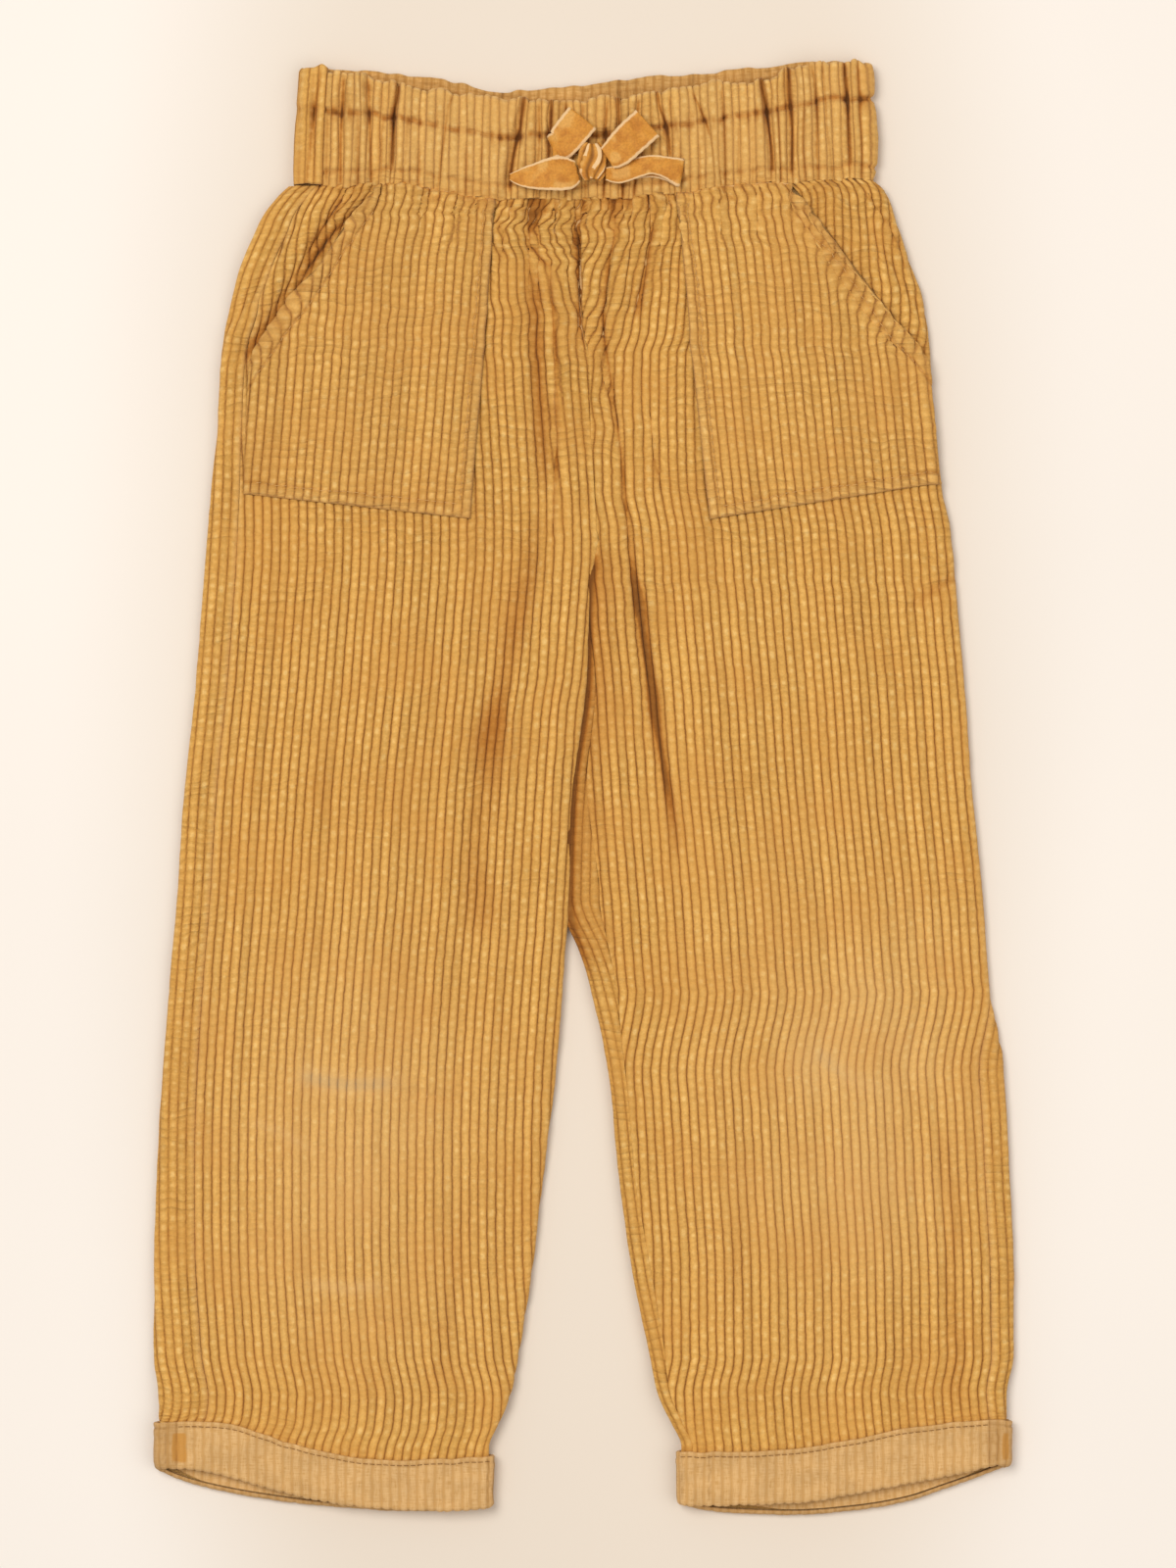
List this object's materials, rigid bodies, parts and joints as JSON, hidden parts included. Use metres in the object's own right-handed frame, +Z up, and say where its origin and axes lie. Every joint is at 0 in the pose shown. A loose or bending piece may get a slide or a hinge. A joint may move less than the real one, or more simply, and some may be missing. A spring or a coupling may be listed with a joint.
{
  "type": "corduroy trousers",
  "caption": "Child's pull-on wide-wale corduroy trousers laid flat, with a frilled elastic waist, slanted patch pockets, turned-up cuffs and a ribbon bow.",
  "frame": {"origin": "centre of the bounding box in X and Y, on the surface that the garment lies on", "axes": "+Y along the legs towards the waist, +X to the viewer's right as the front faces up, +Z up from the surface"},
  "size_m": [0.3918, 0.6664, 0.017],
  "materials": {
    "corduroy": "wide-wale cotton corduroy, ochre, raised pile",
    "corduroy_reverse": "smooth woven reverse of the corduroy",
    "velvet_ribbon": "velvet ribbon with woven edges"
  },
  "bodies": {
    "root": {"waistband_front": "corduroy", "waistband_back": "corduroy", "leg_front_left": "corduroy", "leg_front_right": "corduroy", "leg_back_left": "corduroy", "leg_back_right": "corduroy", "pocket_left": "corduroy", "pocket_right": "corduroy", "cuff_front_left": "corduroy_reverse", "cuff_back_left": "corduroy_reverse", "cuff_front_right": "corduroy_reverse", "cuff_back_right": "corduroy_reverse", "bow_loop_left": "velvet_ribbon", "bow_loop_right": "velvet_ribbon", "bow_tail_left": "velvet_ribbon", "bow_tail_right": "velvet_ribbon", "bow_knot": "velvet_ribbon"}
  },
  "joints": []
}
